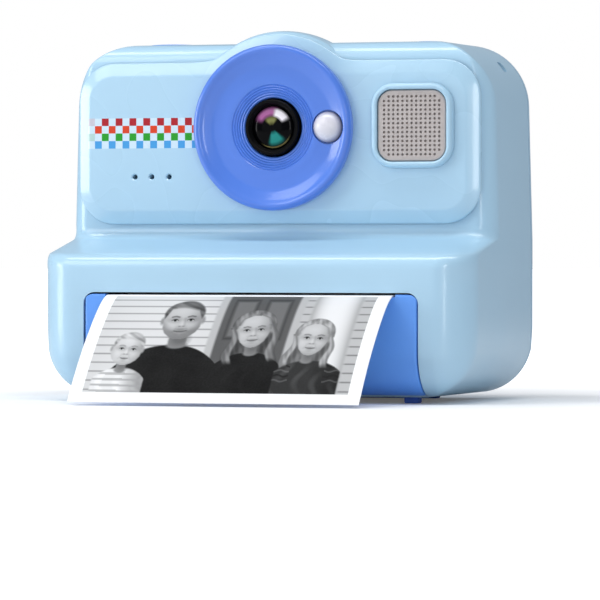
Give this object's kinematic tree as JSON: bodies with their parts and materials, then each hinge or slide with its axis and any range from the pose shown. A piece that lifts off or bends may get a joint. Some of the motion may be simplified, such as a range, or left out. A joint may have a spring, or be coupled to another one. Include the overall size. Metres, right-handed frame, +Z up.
{
  "type": "kids instant print camera",
  "caption": "Boxy light-blue toy camera with a round lens ring, speaker grille, rear screen and keys, and a front door over a thermal printer with a curled print.",
  "frame": {"origin": "on the table under the camera, at the centre of the whole part's box, the print included", "axes": "+X to the right seen from the lens side, +Y from the lens to the screen, +Z up"},
  "size_m": [0.088, 0.07, 0.0719],
  "materials": {
    "shell_blue": "light-blue ABS, satin gloss",
    "royal_blue": "royal-blue ABS, satin",
    "soft_blue": "soft moulded rubber",
    "black_plastic": "black moulded plastic",
    "lens_glass": "coated optical glass",
    "window": "dark clear acrylic",
    "pearl": "white pearl diffuser",
    "led": "phosphor and white package",
    "grille": "perforated silver-grey",
    "board": "green solder mask",
    "steel": "plated steel",
    "cell": "foil pouch",
    "membrane": "silicone",
    "head": "heat sink of the print head",
    "gear": "natural acetal",
    "roller": "black platen rubber",
    "tray": "grey moulded plastic",
    "paper": "thermal paper",
    "core": "paper core"
  },
  "bodies": {
    "body": {"front_shell": "shell_blue", "rear_shell": "shell_blue", "case_screw_1": "steel", "case_screw_2": "steel", "case_screw_3": "steel", "case_screw_4": "steel", "front_panel": "shell_blue", "lens_ring": "royal_blue", "lens_barrel": "black_plastic", "front_lens": "lens_glass", "camera_module": "black_plastic", "sensor_board": "board", "fill_light_dome": "pearl", "fill_light_led": "led", "speaker_bezel": "shell_blue", "speaker_grille": "grille", "speaker": "black_plastic", "microphone": "steel", "main_pcb": "board", "processor": "black_plastic", "battery": "cell", "lcd_module": "black_plastic", "screen_window": "window", "top_board": "board", "shutter_switch": "black_plastic", "power_switch": "black_plastic", "button_membrane": "membrane", "usb_socket": "steel", "card_socket": "steel", "strap_pin": "steel", "foot_front_left": "soft_blue", "foot_front_right": "soft_blue", "foot_rear": "soft_blue", "door_pin_left": "steel", "door_pin_right": "steel", "print_head": "head", "printer_frame": "steel", "roll_cradle": "tray", "print": "paper", "feed_motor": "steel"},
    "door": {"paper_door": "royal_blue"},
    "platen": {"platen_roller": "roller", "platen_shaft": "steel", "platen_gear": "gear"},
    "idler": {"idler_gear": "gear"},
    "feed_drive": {"motor_pinion": "gear"},
    "roll": {"paper_roll": "paper", "paper_core": "core"},
    "port_flap": {"port_cover": "soft_blue"},
    "card": {"memory_card": "black_plastic"},
    "ok_key": {"ok_button": "royal_blue"},
    "up_key": {"up_button": "royal_blue"},
    "down_key": {"down_button": "royal_blue"},
    "left_key": {"left_button": "royal_blue"},
    "right_key": {"right_button": "royal_blue"},
    "mode_key": {"mode_button": "royal_blue"},
    "print_key": {"print_button": "royal_blue"},
    "shutter_key": {"shutter_button": "royal_blue"},
    "power_key": {"power_button": "royal_blue"}
  },
  "joints": [
    {"name": "door_hinge", "type": "hinge", "parent": "body", "child": "door", "pos_m": [0, -0.0104, 0.0066], "axis": [1, 0, 0], "range_deg": [0, 85], "deforming": ["print"]},
    {"name": "platen_spin", "type": "hinge", "parent": "door", "child": "platen", "pos_m": [0, -0.0079, 0.0175], "axis": [1, 0, 0], "continuous": true},
    {"name": "idler_spin", "type": "hinge", "parent": "body", "child": "idler", "pos_m": [0.0313, 0.00007, 0.0168], "axis": [1, 0, 0], "continuous": true},
    {"name": "pinion_spin", "type": "hinge", "parent": "body", "child": "feed_drive", "pos_m": [0.0313, 0.00357, 0.02286], "axis": [1, 0, 0], "continuous": true},
    {"name": "roll_spin", "type": "hinge", "parent": "body", "child": "roll", "pos_m": [0, 0.0056, 0.0152], "axis": [1, 0, 0], "continuous": true},
    {"name": "port_cover_hinge", "type": "hinge", "parent": "body", "child": "port_flap", "pos_m": [-0.04345, 0.0192, 0.0412], "axis": [0, 0, 1], "range_deg": [0, 100]},
    {"name": "card_slide", "type": "slide", "parent": "body", "child": "card", "axis": [-1, 0, 0], "range_m": [0, 0.012]},
    {"name": "ok_press", "type": "slide", "parent": "body", "child": "ok_key", "axis": [0, -1, 0], "range_m": [0, 0.0006], "stiffness_N_per_m": 700, "springref_m": -0.0003},
    {"name": "up_press", "type": "slide", "parent": "body", "child": "up_key", "axis": [0, -1, 0], "range_m": [0, 0.0006], "stiffness_N_per_m": 700, "springref_m": -0.0003},
    {"name": "down_press", "type": "slide", "parent": "body", "child": "down_key", "axis": [0, -1, 0], "range_m": [0, 0.0006], "stiffness_N_per_m": 700, "springref_m": -0.0003},
    {"name": "left_press", "type": "slide", "parent": "body", "child": "left_key", "axis": [0, -1, 0], "range_m": [0, 0.0006], "stiffness_N_per_m": 700, "springref_m": -0.0003},
    {"name": "right_press", "type": "slide", "parent": "body", "child": "right_key", "axis": [0, -1, 0], "range_m": [0, 0.0006], "stiffness_N_per_m": 700, "springref_m": -0.0003},
    {"name": "mode_press", "type": "slide", "parent": "body", "child": "mode_key", "axis": [0, -1, 0], "range_m": [0, 0.0006], "stiffness_N_per_m": 700, "springref_m": -0.0003},
    {"name": "print_press", "type": "slide", "parent": "body", "child": "print_key", "axis": [0, -1, 0], "range_m": [0, 0.0006], "stiffness_N_per_m": 700, "springref_m": -0.0003},
    {"name": "shutter_press", "type": "slide", "parent": "body", "child": "shutter_key", "axis": [0, 0, -1], "range_m": [0, 0.0008], "stiffness_N_per_m": 900, "springref_m": -0.0003},
    {"name": "power_press", "type": "slide", "parent": "body", "child": "power_key", "axis": [0, 0, -1], "range_m": [0, 0.0008], "stiffness_N_per_m": 900, "springref_m": -0.0003}
  ],
  "couplings": [
    {"joint": "idler_spin", "follows": "platen_spin", "ratio": -0.6},
    {"joint": "pinion_spin", "follows": "platen_spin", "ratio": 1.5},
    {"joint": "roll_spin", "follows": "platen_spin", "ratio": -0.26}
  ]
}
